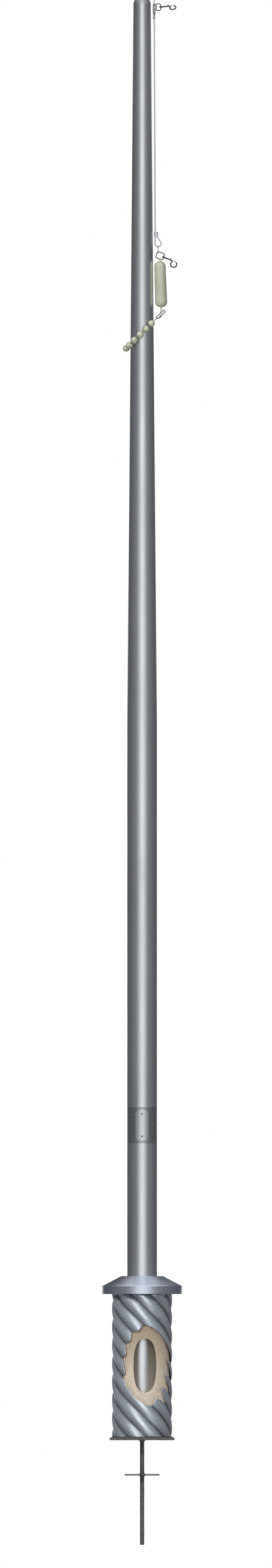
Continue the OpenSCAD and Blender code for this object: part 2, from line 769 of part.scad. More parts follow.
module counterweight() {
    rt = weight_top_dia / 2;
    rb = weight_dia / 2;
    neck = 10;
    cap = 26;
    profile = concat(
        [[0, 0], [neck, 0], [neck, -4]],
        [for (i = [1:9]) [neck + (rt - neck) * sin(10 * i), -4 - cap * (1 - cos(10 * i))]],
        [for (i = [0:9]) [neck + (rb - neck) * cos(10 * i), -weight_length + 1 + cap * (1 - sin(10 * i))]],
        [[neck, -weight_length], [0, -weight_length]]);
    color([0.72, 0.73, 0.65])
    difference() {
        at_weight() rotate_extrude() polygon(profile);
        cord_legs(fit);
    }
}

module weight_strap() {
    color([0.74, 0.75, 0.66])
    at_weight() translate([-strap_width / 2, 0, 0]) rotate([90, 0, 90])
        linear_extrude(height = strap_width) difference() {
            union() {
                translate([0, strap_top - weight_top - strap_inner]) circle(r = strap_inner + strap_thick);
                translate([-strap_inner - strap_thick, 0])
                    square([2 * (strap_inner + strap_thick), strap_top - weight_top - strap_inner]);
            }
            translate([0, strap_top - weight_top - strap_inner]) circle(r = strap_inner);
            translate([-strap_inner, strap_thick])
                square([2 * strap_inner, strap_top - weight_top - strap_inner - strap_thick]);
        }
}

module cord_place() {
    translate([weight_end_x, 0, cord_bottom + cord_half]) rotate([0, 0, -68]) children();
}

module cord_legs(gap) {
    cord_place() for (s = [-1, 1])
        translate([s * cord_half, 0, 0])
            cylinder(r = cord_radius + gap, h = weight_end_z + 12 - cord_bottom - cord_half + gap);
}

module weight_cord() {
    color([0.76, 0.75, 0.64]) {
        cord_legs(0);
        cord_place() rotate([90, 180, 0])
            rotate_extrude(angle = 180) translate([cord_half, 0]) circle(r = cord_radius);
    }
}

module quick_place() {
    translate(quick_low) rotate([0, 90 - quick_tilt, 0]) children();
}

module quick_link() {
    color([0.70, 0.71, 0.73])
    quick_place() oval_ring(quick_half_width, quick_straight, quick_wire);
}

module quick_link_nut() {
    color([0.62, 0.63, 0.66])
    quick_place() translate([quick_half_width, 0, quick_straight * 0.14]) difference() {
        cylinder(r = quick_wire + 2, h = quick_straight * 0.34);
        translate([0, 0, -1]) cylinder(r = quick_wire + fit, h = quick_straight);
    }
}

module retainer_beads() {
    color([0.78, 0.78, 0.69])
    for (i = [0:bead_count - 1]) {
        k = i + len(lead_at);
        difference() {
            translate(cable_path[k]) rotate([0, -ring_tilt, 0]) rotate([0, 0, bead_turn(i)])
                sphere(r = bead_radius);
            for (j = [k - 1, k + 1]) {
                dir = (cable_path[j] - cable_path[k]) / norm(cable_path[j] - cable_path[k]);
                rod(cable_path[k] - dir, cable_path[j], retainer_radius + run_fit);
            }
        }
    }
}

module retainer_cable() {
    last = len(cable_path) - 1;
    color([0.62, 0.62, 0.60]) {
        for (i = [0:last - 1]) rod(cable_path[i], cable_path[i + 1], retainer_radius);
        for (i = [1:last]) translate(cable_path[i]) sphere(r = retainer_radius + 0.15);
    }
}

shaft();
door_frame();
door_frame_screws();
access_door();
door_screws();
flash_collar();
ground_sleeve();
sleeve_base_plate();
sand_fill();
ground_spike();
spike_support_plate();
truck_socket();
truck_retaining_ring();
truck_housing();
truck_sheave();
sheave_pin();
finial_stem();
finial_ball();
halyard();
halyard_clip();
halyard_ferrule();
connecting_link();
upper_snap_eye();
upper_snap_hook();
upper_snap_bolt();
lower_snap_eye();
lower_snap_hook();
lower_snap_bolt();
counterweight();
weight_strap();
weight_cord();
quick_link();
quick_link_nut();
retainer_beads();
retainer_cable();
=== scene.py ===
import math
import bpy
import bmesh
import numpy as np
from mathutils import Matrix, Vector, noise


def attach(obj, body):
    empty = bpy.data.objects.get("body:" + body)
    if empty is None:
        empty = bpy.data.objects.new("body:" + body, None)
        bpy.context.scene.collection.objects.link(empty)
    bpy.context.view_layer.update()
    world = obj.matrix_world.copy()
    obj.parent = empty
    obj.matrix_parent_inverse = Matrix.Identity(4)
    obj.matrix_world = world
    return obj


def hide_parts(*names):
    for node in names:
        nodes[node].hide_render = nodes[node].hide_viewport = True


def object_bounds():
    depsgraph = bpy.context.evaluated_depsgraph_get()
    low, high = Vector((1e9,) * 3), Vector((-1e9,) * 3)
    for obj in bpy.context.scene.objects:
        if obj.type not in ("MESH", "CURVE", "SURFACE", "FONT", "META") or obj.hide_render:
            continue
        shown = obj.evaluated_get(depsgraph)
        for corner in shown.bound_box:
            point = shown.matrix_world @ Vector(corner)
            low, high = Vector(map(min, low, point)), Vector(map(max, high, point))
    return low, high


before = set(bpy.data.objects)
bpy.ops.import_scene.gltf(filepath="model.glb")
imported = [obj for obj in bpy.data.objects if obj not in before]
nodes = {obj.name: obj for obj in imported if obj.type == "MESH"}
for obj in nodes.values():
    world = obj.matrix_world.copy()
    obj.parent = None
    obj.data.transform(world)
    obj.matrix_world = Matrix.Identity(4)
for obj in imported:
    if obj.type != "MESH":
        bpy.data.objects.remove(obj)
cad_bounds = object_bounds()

MM = 0.001
TAU = 2 * math.pi
scene = bpy.context.scene

# Sizes that several pieces share, in metres
SHAFT_R = 76.2 * MM         # the shaft's butt
SAND_R = 139.4 * MM         # the packed sand in the sleeve
SLEEVE_R = 153.5 * MM       # crest of the sleeve's corrugations
SLEEVE_LOW = -0.73          # lower end of the sleeve
LOBES = 9                   # corrugations that start round the sleeve
LEAD = 0.838                # rise of a corrugation in one turn
WAVE = 6.0 * MM             # half the depth of a corrugation
SHEET = 2.2 * MM            # thickness of the sleeve
WINDOW_Z = -0.364           # middle of the sleeve's window
DOOR_Z = 0.861              # middle of the access door
DOOR_SEAT = 79.7 * MM       # outer radius of the door and its frame


# ---------------------------------------------------------------- camera
def add_camera():
    """An elevation of the front, square on, with no perspective."""
    height_seen, eye = 7.9856, (-0.031, -12.0, 2.598)
    data = bpy.data.cameras.new("camera")
    data.type = "ORTHO"
    data.ortho_scale = height_seen
    data.clip_end = 60
    cam = bpy.data.objects.new("camera", data)
    cam.location = eye
    cam.rotation_euler = (math.radians(90), 0, 0)
    scene.collection.objects.link(cam)
    scene.camera = cam


add_camera()


# ---------------------------------------------------------------- node trees
class Tree:
    """A short way to write node trees."""

    def __init__(self, tree):
        self.tree = tree
        tree.nodes.clear()

    def add(self, kind, inputs=None, **settings):
        node = self.tree.nodes.new("ShaderNode" + kind)
        for key, value in settings.items():
            setattr(node, key, value)
        for key, value in (inputs or {}).items():
            socket = node.inputs[key]
            if isinstance(value, bpy.types.NodeSocket):
                self.tree.links.new(value, socket)
            else:
                socket.default_value = value
        return node

    def coords(self, scale):
        where = self.add("TexCoord").outputs["Object"]
        return self.add("Mapping", {"Vector": where, "Scale": scale}).outputs["Vector"]

    def noise(self, scale, detail=4.0, size=1.0, rough=0.55):
        return self.add("TexNoise", {"Vector": self.coords(scale), "Scale": size,
                                     "Detail": detail, "Roughness": rough}).outputs["Fac"]

    def maths(self, kind, a, b=0.0):
        return self.add("Math", {0: a, 1: b}, operation=kind).outputs[0]

    def polar(self):
        """Distance from the pole's axis, angle round it, and height."""
        at = self.add("SeparateXYZ", {"Vector": self.add("TexCoord").outputs["Object"]})
        x, y, z = (at.outputs[k] for k in "XYZ")
        reach = self.maths("SQRT", self.maths("ADD", self.maths("MULTIPLY", x, x),
                                              self.maths("MULTIPLY", y, y)))
        return reach, self.maths("ARCTAN2", y, x), z

    def spun_noise(self, scale, detail=3.0):
        """Noise that runs in rings round the pole's axis."""
        reach, _, z = self.polar()
        ring = self.add("CombineXYZ", {"X": self.maths("MULTIPLY", reach, scale),
                                       "Y": self.maths("MULTIPLY", z, scale)}).outputs["Vector"]
        return self.add("TexNoise", {"Vector": ring, "Scale": 1.0, "Detail": detail}).outputs["Fac"]

    def eased(self, radius, samples=6):
        """Normals that turn softly over an edge."""
        return self.add("Bevel", {"Radius": radius}, samples=samples).outputs["Normal"]

    def ramp(self, fac, stops):
        """Colours at places from 0 to 1, blended in between."""
        node = self.add("ValToRGB", {"Fac": fac})
        elements = node.color_ramp.elements
        while len(elements) < len(stops):
            elements.new(0.5)
        for element, (place, colour) in zip(elements, stops):
            element.position = place
            element.color = (*colour, 1)
        return node.outputs["Color"]

    def mix(self, fac, a, b, blend="MIX"):
        """Two colours mixed; inputs 6 and 7 and output 2 are the colour sockets of a Mix node."""
        node = self.add("Mix", {"Factor": fac}, data_type="RGBA", blend_type=blend)
        for socket, value in ((node.inputs[6], a), (node.inputs[7], b)):
            if isinstance(value, bpy.types.NodeSocket):
                self.tree.links.new(value, socket)
            else:
                socket.default_value = (*value, 1)
        return node.outputs[2]

    def value(self, fac, low, high, start=0.0, end=1.0):
        """fac mapped from start..end to low..high, and held at the ends."""
        return self.add("MapRange", {"Value": fac, "From Min": start, "From Max": end,
                                     "To Min": low, "To Max": high}).outputs["Result"]

    def bump(self, height, distance, strength=1.0, normal=None):
        inputs = {"Height": height, "Distance": distance, "Strength": strength}
        if normal is not None:
            inputs["Normal"] = normal
        return self.add("Bump", inputs).outputs["Normal"]


def material(name, colour, rough, metal, bump=None, **sockets):
    """A material whose colour, roughness and bump come from functions of its tree."""
    mat = bpy.data.materials.new(name)
    mat.use_nodes = True
    t = Tree(mat.node_tree)
    inputs = {"Base Color": colour(t), "Roughness": rough(t), "Metallic": metal}
    if bump:
        inputs["Normal"] = bump(t)
    for key, value in sockets.items():
        inputs[key.replace("_", " ")] = value
    shader = t.add("BsdfPrincipled", inputs)
    t.add("OutputMaterial", {"Surface": shader.outputs["BSDF"]})
    return mat


def tint(colour, spread, scale, detail=4.0):
    """Mottled colour: the noise moves it up and down by a share of itself."""
    low = tuple(c * (1 - spread) for c in colour)
    high = tuple(min(1, c * (1 + spread)) for c in colour)
    return lambda t: t.ramp(t.noise(scale, detail), [(0.3, low), (0.7, high)])


def rough_noise(low, high, scale, detail=3.0):
    return lambda t: t.value(t.noise(scale, detail), low, high, 0.3, 0.7)


def satin(name, colour, rough=0.34, spread=0.05):
    """Aluminium sanded round the pole: fine rings of scratches and a faint cloudiness."""
    scratches, depth = 2600, 0.000012

    def tone(t):
        fine = t.spun_noise(scratches, 2.0)
        cloud = t.noise((5, 5, 1.4), 5.0)
        low = tuple(c * (1 - spread) for c in colour)
        high = tuple(c * (1 + spread) for c in colour)
        base = t.ramp(cloud, [(0.3, low), (0.7, high)])
        return t.mix(t.value(fine, 0.0, 0.10, 0.35, 0.75), base, tuple(c * 0.6 for c in colour))

    def roughness(t):
        both = t.maths("ADD", t.spun_noise(scratches, 2.0), t.noise((9, 9, 3), 4.0))
        return t.value(both, rough - 0.06, rough + 0.08, 0.7, 1.3)

    return material(name, tone, roughness, 1.0, lambda t: t.bump(t.spun_noise(scratches), depth))


def cast(name, colour, rough=0.42, grain=700.0, depth=0.00012, metal=1.0, spread=0.05,
         ease=0.0006):
    """Cast or plated metal with a fine sandy skin and eased edges."""
    return material(name, tint(colour, spread, (70, 70, 70), 6.0),
                    rough_noise(rough - 0.07, rough + 0.09, (60, 60, 60)), metal,
                    lambda t: t.bump(t.noise((grain,) * 3, 3.0), depth, normal=t.eased(ease)))


M = {}
M["shaft"] = satin("shaft_aluminium", (0.76, 0.78, 0.80))
M["frame"] = satin("door_frame_aluminium", (0.50, 0.53, 0.54), rough=0.38, spread=0.14)
M["door"] = satin("door_aluminium", (0.70, 0.73, 0.74), rough=0.36)
M["collar"] = satin("collar_aluminium", (0.70, 0.74, 0.84), rough=0.32)
M["screw"] = cast("screw_steel", (0.46, 0.46, 0.45), rough=0.30, grain=1200.0, depth=0.00002)
# the hex sockets are painted nearly black: painted shade in the recess, not the steel's own colour
M["socket"] = cast("screw_socket_painted_shade", (0.008, 0.008, 0.009), rough=0.60, metal=0.2)
M["weld"] = cast("weld_metal", (0.16, 0.15, 0.145), rough=0.48, grain=500.0, depth=0.0002,
                 metal=0.8, spread=0.3)
M["cast"] = cast("cast_aluminium", (0.66, 0.69, 0.71), rough=0.46, grain=420.0, depth=0.0003,
                 ease=0.0016)
M["bronze"] = cast("bearing_bronze", (0.60, 0.42, 0.20), rough=0.34)
M["gold"] = material("ball_gold", tint((0.86, 0.58, 0.16), 0.03, (12, 12, 12)),
                     rough_noise(0.16, 0.24, (25, 25, 25)), 1.0,
                     lambda t: t.bump(t.noise((40, 40, 1800), 2.0), 0.000008),
                     Coat_Weight=0.4, Coat_Roughness=0.1)
M["snap"] = cast("snap_nickel", (0.15, 0.15, 0.15), rough=0.26, grain=900.0, depth=0.00005)
M["bolt"] = cast("bolt_nickel", (0.36, 0.355, 0.35), rough=0.28, grain=900.0, depth=0.00004)
M["clip"] = cast("clip_steel", (0.62, 0.62, 0.63), rough=0.36)
M["ferrule"] = cast("ferrule_aluminium", (0.52, 0.53, 0.55), rough=0.42, grain=900.0,
                    depth=0.00005, metal=0.55)
M["zinc"] = cast("link_zinc", (0.34, 0.35, 0.38), rough=0.26, grain=900.0, depth=0.00004)
M["plate"] = cast("plate_steel", (0.105, 0.098, 0.095), rough=0.60, grain=260.0, depth=0.0004,
                  metal=0.5, spread=0.35)
M["cable"] = material("halyard_vinyl", tint((0.37, 0.37, 0.375), 0.08, (300, 300, 60)),
                      rough_noise(0.42, 0.55, (200, 200, 200)), 0.0,
                      lambda t: t.bump(t.noise((1500,) * 3, 2.0), 0.00005))
M["wire"] = cast("retainer_wire", (0.42, 0.42, 0.43), rough=0.38, grain=1500.0, depth=0.00004)


def vinyl_tone(t):
    """Cream vinyl, a little mottled, with rings of dirt."""
    mottle = t.ramp(t.noise((14, 14, 9), 5.0), [(0.3, (0.275, 0.286, 0.212)),
                                                (0.7, (0.325, 0.334, 0.256))])
    dirt = t.value(t.noise((5, 5, 34), 6.0), 0.0, 0.35, 0.55, 0.8)
    return t.mix(dirt, mottle, (0.26, 0.24, 0.175))


M["vinyl"] = material("weight_vinyl", vinyl_tone, rough_noise(0.40, 0.55, (40, 40, 40)), 0.0,
                      lambda t: t.bump(t.noise((60, 60, 26), 4.0), 0.0006,
                                       normal=t.bump(t.noise((900,) * 3, 2.0), 0.00008)),
                      Coat_Weight=0.5, Coat_Roughness=0.22)


def nylon_tone(t):
    """Swirls of darker and lighter nylon in each bead."""
    swirl = t.noise((55, 55, 80), 5.0)
    return t.ramp(swirl, [(0.30, (0.16, 0.17, 0.105)), (0.5, (0.29, 0.30, 0.215)),
                          (0.70, (0.43, 0.43, 0.335))])


M["nylon"] = material("bead_nylon", nylon_tone, rough_noise(0.26, 0.40, (90, 90, 90)), 0.0,
                      lambda t: t.bump(t.noise((220,) * 3, 3.0), 0.00025),
                      Coat_Weight=0.6, Coat_Roughness=0.15)


def speckle(t, scale):
    """A random grey in each of the cells of a Voronoi pattern, scale of them a metre."""
    cell = t.add("TexVoronoi", {"Vector": t.coords((1, 1, 1)), "Scale": scale}, feature="F1")
    return t.add("RGBToBW", {"Color": cell.outputs["Color"]}).outputs["Val"]


def galvanised_tone(t):
    """Spangled zinc with stains, and painted shade that darkens the valleys of the corrugations."""
    spangle = t.ramp(speckle(t, 110.0), [(0.2, (0.64, 0.69, 0.755)), (0.8, (0.71, 0.76, 0.82))])
    stain = t.value(t.noise((6, 6, 4), 6.0), 0.0, 0.4, 0.5, 0.75)
    zinc = t.mix(stain, spangle, (0.50, 0.54, 0.58))
    # painted shade: the zinc is mixed nearly to black along the valleys of the corrugations, where
    # shade falls
    _, turn, z = t.polar()
    climb = t.maths("MULTIPLY", t.maths("ADD", z, -SLEEVE_LOW), TAU / LEAD)
    half = t.maths("MULTIPLY", t.maths("ADD", turn, climb), LOBES / 2)
    depth = t.maths("ABSOLUTE", t.maths("SINE", half))
    valley_shade = t.maths("ADD", depth, t.value(t.noise((16, 16, 16)), -0.06, 0.06))
    return t.mix(t.value(valley_shade, 0.88, 0.0, 0.02, 0.52), zinc, (0.10, 0.105, 0.11))


M["galvanised"] = material("sleeve_galvanised", galvanised_tone,
                           rough_noise(0.20, 0.32, (35, 35, 35)), 0.86,
                           lambda t: t.bump(t.noise((60,) * 3, 2.0), 0.00005))


def sand_tone(t):
    """Grains of several tans, damp patches, and painted shade that darkens the sand towards the
    top, under the sleeve.
    """
    grains = t.ramp(speckle(t, 420.0), [(0.1, (0.29, 0.24, 0.18)), (0.5, (0.42, 0.36, 0.285)),
                                        (0.9, (0.54, 0.475, 0.39))])
    damp = t.value(t.noise((7, 7, 5), 5.0), 0.0, 0.35, 0.45, 0.75)
    patchy = t.mix(damp, grains, (0.36, 0.28, 0.20))
    # painted shade: the sand is mixed to dark brown towards its top, as if shadowed by the sleeve
    # above it
    z = t.add("SeparateXYZ", {"Vector": t.coords((1, 1, 1))}).outputs["Z"]
    return t.mix(t.value(z, 0.0, 0.75, -0.42, -0.16), patchy, (0.17, 0.12, 0.075))


M["sand"] = material("packed_sand", sand_tone, rough_noise(0.85, 0.95, (50, 50, 50)), 0.0,
                     lambda t: t.bump(t.noise((500,) * 3, 4.0), 0.0016,
                                      normal=t.bump(t.noise((45,) * 3, 4.0), 0.004)))


def dress(node, mat):
    """A CAD node keeps its mesh and gets a material."""
    mesh = nodes[node].data
    mesh.materials.clear()
    mesh.materials.append(mat)


# ---------------------------------------------------------------- mesh builders
def piece(name, verts, faces, mat, body, replaces=(), angle=40.0):
    """A smooth-shaded mesh on a body; edges sharper than angle, in degrees, stay sharp."""
    mesh = bpy.data.meshes.new(name)
    mesh.from_pydata([tuple(map(float, v)) for v in verts], [],
                     [tuple(map(int, f)) for f in faces])
    mesh.validate()
    mesh.polygons.foreach_set("use_smooth", [True] * len(mesh.polygons))
    mesh.set_sharp_from_angle(angle=math.radians(angle))
    mesh.materials.append(mat)
    obj = bpy.data.objects.new(name, mesh)
    scene.collection.objects.link(obj)
    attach(obj, body)
    if replaces:
        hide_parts(*replaces)
    return obj


def grid_faces(rows, cols, wrap_rows=False):
    """Quads between rows of vertices, each row a closed loop."""
    faces = []
    for i in range(rows if wrap_rows else rows - 1):
        near, far = i * cols, ((i + 1) % rows) * cols
        for j in range(cols):
            m = (j + 1) % cols
            faces.append((near + j, near + m, far + m, far + j))
    return faces


def end_caps(rows, cols):
    """Two faces that close the first and last row of a grid."""
    return [tuple(range(cols))[::-1], tuple(range((rows - 1) * cols, rows * cols))]


def lathe(profile, steps=96, closed=True):
    """Verts and faces of a profile of (radius, height) turned about Z."""
    prof = np.array(profile, float)
    turn = np.linspace(0, TAU, steps, endpoint=False)
    verts = np.array([[r * math.cos(a), r * math.sin(a), z] for r, z in prof for a in turn])
    return verts, grid_faces(len(prof), steps, wrap_rows=closed)


def arc(cx, cz, r, start, end, n=6):
    """Points of a round corner, angles in degrees."""
    turns = [math.radians(start + (end - start) * i / n) for i in range(n + 1)]
    return [(cx + r * math.cos(a), cz + r * math.sin(a)) for a in turns]


def frames(points, up):
    """Points, side and top vectors along a path; the side starts square to up, without twist."""
    p = np.array(points, float)
    t = np.gradient(p, axis=0)
    t /= np.linalg.norm(t, axis=1)[:, None]
    side = np.empty_like(t)
    side[0] = np.cross(t[0], up)
    side[0] /= np.linalg.norm(side[0])
    for i in range(1, len(p)):
        s = side[i - 1] - t[i] * side[i - 1].dot(t[i])
        side[i] = s / np.linalg.norm(s)
    return p, side, np.cross(t, side)


def run_along(points):
    """Distance along a path at each of its points."""
    steps = np.linalg.norm(np.diff(points, axis=0), axis=1)
    return np.concatenate([[0], np.cumsum(steps)])


def rope(points, radius, depth, lay, segs, lobes=6, up=(0, 1, 0)):
    """Verts and faces of a laid rope along a path: its section's lobes wind with its length."""
    p, side, top = frames(points, np.array(up, float))
    run = run_along(p)
    verts = []
    for i in range(len(p)):
        for j in range(segs):
            a = TAU * j / segs
            strand = abs(math.cos(lobes / 2 * (a - TAU * run[i] / lay))) ** 0.8
            r = radius * (1 - depth + depth * strand)
            verts.append(p[i] + r * (math.cos(a) * side[i] + math.sin(a) * top[i]))
    return np.array(verts), grid_faces(len(p), segs) + end_caps(len(p), segs)


def resample(points, step):
    """The same path with points an even step apart."""
    p = np.array(points, float)
    run = run_along(p)
    count = max(2, int(run[-1] / step) + 1)
    s = np.linspace(0, run[-1], count)
    return np.stack([np.interp(s, run, p[:, k]) for k in range(3)], axis=1)


def join(parts):
    """Several (verts, faces) as one."""
    verts, faces, base = [], [], 0
    for v, f in parts:
        verts.append(np.asarray(v, float))
        faces += [tuple(i + base for i in face) for face in f]
        base += len(v)
    return np.concatenate(verts), faces


# ---------------------------------------------------------------- ground sleeve
def sleeve_radius(phase):
    """Round bulges with sharp valleys; each side of a valley has a small rib and a groove."""
    blunt = 0.012            # keeps the valley from being a crease
    bulge = math.sqrt((math.cos(phase / 2) ** 2 + blunt) / (1 + blunt))
    off = abs((phase % TAU) - math.pi)
    rib_at, groove_at, width, height = 0.42, 0.16, 0.13, 0.9 * MM
    rib = height * (math.exp(-((off - rib_at) / width) ** 2)
                    - math.exp(-((off - groove_at) / width) ** 2))
    return SLEEVE_R - 2 * WAVE + 2 * WAVE * bulge + rib * 0.8


def window(x, y, z, phase):
    """Below zero inside the torn window; metal tongues reach in where the bulges meet it.

    The window is a blunt oval seen from the front. Past the sleeve's silhouette the arc is
    laid out flat, so that the window ends a little way round the side. The tongues are longer
    to the lower right."""
    middle, half_left, half_right, half_height, blunt = 0.027, 0.121, 0.122, 0.198, 2.1
    turn = math.atan2(x, -y)
    if abs(turn) > math.pi / 2:
        x = (SLEEVE_R + SLEEVE_R * (abs(turn) - math.pi / 2)) * (1 if x > 0 else -1)
    dx, dz = x - middle, z - WINDOW_Z
    wide = half_right if dx > 0 else half_left
    shape = (abs(dx / wide) ** blunt + abs(dz / half_height) ** blunt) ** (1 / blunt) - 1
    tongue, longer, ragged = 0.045, 0.145, 0.014
    lower_right = (min(1.0, max(0.0, (dx / wide - 0.25) / 0.4))
                   * min(1.0, max(0.0, (0.045 - dz) / 0.05)))
    reach = (tongue + longer * lower_right) * math.cos(phase + 0.2)
    return shape + reach + ragged * noise.noise((x * 45, z * 45, 0.5))


def build_sleeve():
    """A sheet over (phase, height); points just inside the window are pulled out to its edge."""
    cols, rows, end_margin, smoothings = LOBES * 40, 104, 0.02, 6
    phase = np.linspace(0, TAU * LOBES, cols, endpoint=False)
    step_p = phase[1]
    zed = np.linspace(SLEEVE_LOW, 0.0, rows)
    step_z = zed[1] - zed[0]

    def spot(ph, z):
        a = (ph - math.pi) / LOBES - TAU * (z - SLEEVE_LOW) / LEAD
        r = sleeve_radius(ph)
        return r * math.cos(a), r * math.sin(a), z

    # pull each inside point that has an outside neighbour to where the window's edge crosses
    field = np.array([[window(*spot(ph, z), ph) for ph in phase] for z in zed])
    inside = field < 0
    shift_p, shift_z = np.zeros_like(field), np.zeros_like(field)
    moved = np.zeros_like(inside)
    for i in range(1, rows - 1):
        for j in np.nonzero(inside[i])[0]:
            best = None
            for di, dj in ((0, 1), (0, -1), (1, 0), (-1, 0)):
                k, m = i + di, (j + dj) % cols
                if not inside[k, m]:
                    share = field[i, j] / (field[i, j] - field[k, m])
                    if best is None or share < best[0]:
                        best = (share, di, dj)
            if best:
                moved[i, j] = True
                shift_p[i, j] = best[0] * best[2] * step_p
                shift_z[i, j] = best[0] * best[1] * step_z
    # faces outside the window, and the vertices that they use
    ok = ~inside | moved
    quads = []
    for i in range(rows - 1):
        for j in range(cols):
            m = (j + 1) % cols
            corner = ((i, j), (i, m), (i + 1, m), (i + 1, j))
            if all(ok[c] for c in corner) and not all(moved[c] for c in corner):
                quads.append(tuple(c[0] * cols + c[1] for c in corner))
    used = sorted({i for quad in quads for i in quad})
    index = {k: n for n, k in enumerate(used)}
    place = np.array([(phase[k % cols] + shift_p[k // cols, k % cols],
                       zed[k // cols] + shift_z[k // cols, k % cols]) for k in used])
    # the window's rim: edges of a single face, away from the sleeve's ends; then smooth it
    count = {}
    for quad in quads:
        for a, b in zip(quad, quad[1:] + quad[:1]):
            key = (min(index[a], index[b]), max(index[a], index[b]))
            count[key] = count.get(key, 0) + 1
    rim = {}
    for (a, b), times in count.items():
        if times == 1 and all(SLEEVE_LOW + end_margin < place[k][1] < -end_margin for k in (a, b)):
            rim.setdefault(a, []).append(b)
            rim.setdefault(b, []).append(a)
    full = TAU * LOBES
    for _ in range(smoothings):
        before = place.copy()
        for k, near in rim.items():
            if len(near) == 2:
                step = [(before[n] - before[k]) for n in near]
                across = sum((d[0] + full / 2) % full - full / 2 for d in step) / 4
                place[k] = before[k] + (across, sum(d[1] for d in step) / 4)
    verts = [spot(*at) for at in place]
    obj = piece("corrugated_sleeve", verts, [tuple(index[i] for i in quad) for quad in quads],
                M["galvanised"], "mast", ("ground_sleeve",), 75.0)
    thick = obj.modifiers.new("sheet", "SOLIDIFY")
    thick.thickness = SHEET
    thick.offset = -1.0
    return obj


build_sleeve()


# ---------------------------------------------------------------- sand
def build_sand():
    """The outside of the packed sand, as rays that spread from its hole over the cylinder (angle,
    height) to its top, bottom and back, and the wall of the hole, in to the shaft."""
    rays, steps, depth, low, high = 160, 44, 9, -0.7298, -0.025
    hole_x, hole_wide, hole_tall = 15, 59.5, 137      # mm: its middle and its half sizes
    clear = 0.0006                                    # from the hole's wall to the shaft
    centre = (hole_x * MM / SAND_R, WINDOW_Z)
    verts, wall = [], []
    for i in range(rays):
        t = TAU * i / rays
        c, s = math.cos(t), math.sin(t)
        px = abs(c) ** 0.8 * (1 if c > 0 else -1) * hole_wide * MM
        pz = abs(s) ** 0.8 * (1 if s > 0 else -1) * hole_tall * MM
        hx, hz = hole_x * MM + px, WINDOW_Z + pz
        a0 = math.asin(hx / SAND_R)
        da, dz = a0 - centre[0], hz - centre[1]
        k = min(((math.pi if da > 0 else -math.pi) - centre[0]) / da if abs(da) > 1e-9 else 1e9,
                ((high if dz > 0 else low) - centre[1]) / dz if abs(dz) > 1e-9 else 1e9)
        for j in range(steps + 1):
            f = 1 + (k - 1) * (j / steps) ** 1.6
            a, z = centre[0] + da * f, centre[1] + dz * f
            lump = (0.0012 * noise.noise((a * 9, z * 60, 1.7))
                    + 0.0008 * noise.noise((a * 30, z * 200, 4.1)))
            edge = 0.0025 * math.exp(-(f - 1) * 26)
            r = SAND_R - 0.0012 + lump - edge
            verts.append((r * math.sin(a), -r * math.cos(a), z))
        wall.append((hx, hz))
    ring = len(verts)
    faces = []
    for i in range(rays):
        near, far = i * (steps + 1), ((i + 1) % rays) * (steps + 1)
        faces += [(near + j, near + j + 1, far + j + 1, far + j) for j in range(steps)]
    for i, (hx, hz) in enumerate(wall):
        sx, sy, _ = verts[i * (steps + 1)]
        for j in range(1, depth + 1):
            f = j / depth
            x = sx + (hx - sx) * f
            rough = (0.0010 * noise.noise((x * 120, hz * 90, f * 5))
                     * math.sin(math.pi * min(f, 0.9)))
            inner = -math.sqrt((SHAFT_R + clear) ** 2 - min(x * x, SHAFT_R ** 2 * 0.98))
            y = sy + (inner - sy) * f
            verts.append((x + rough, y, hz + rough))
    for i in range(rays):
        m = (i + 1) % rays
        for j in range(depth):
            a = i * (steps + 1) if j == 0 else ring + i * depth + j - 1
            b = m * (steps + 1) if j == 0 else ring + m * depth + j - 1
            faces.append((a, b, ring + m * depth + j, ring + i * depth + j))
    return piece("packed_sand", verts, faces, M["sand"], "mast", ("sand_fill",), 60.0)


build_sand()


# ---------------------------------------------------------------- flash collar
def build_collar():
    """A spun shell with a rolled inner lip and round shoulders, open underneath."""
    top, rim, r_top, r_rim, r_flat, sheet = 0.092, 0.042, 0.106, 0.203, 0.095, 0.003
    slope = math.degrees(math.atan2(top - rim, r_rim - r_top))
    inner = SHAFT_R + 0.0003
    outside = [(inner, top - 0.0022), (inner + 0.0006, top - 0.0006), (inner + 0.0022, top),
               (r_flat, top), (r_top - 0.0030, top)]
    outside += arc(r_top - 0.0022, top - 0.0085, 0.0085, 90, 90 - slope, 6)
    outside += [(r_rim - 0.006, rim + 0.00237)]
    outside += arc(r_rim - 0.004, rim - 0.0032, 0.004, 90 - slope, 0, 5)
    outside += [(r_rim, rim - 0.0045), (r_rim, 0.0027), (r_rim, 0.0018),
                (r_rim - 0.0006, 0.0004), (r_rim - 0.0016, 0.0)]
    inside = [(r_rim - sheet, 0.0004), (r_rim - sheet, rim - 0.006), (r_rim - 0.008, rim - 0.004),
              (r_top - 0.004, top - sheet - 0.0015), (r_flat, top - sheet), (inner, top - sheet)]
    verts, faces = lathe(outside + inside, 144)
    return piece("spun_collar", verts, faces, M["collar"], "mast",
                 ("flash_collar",), 30.0)


build_collar()


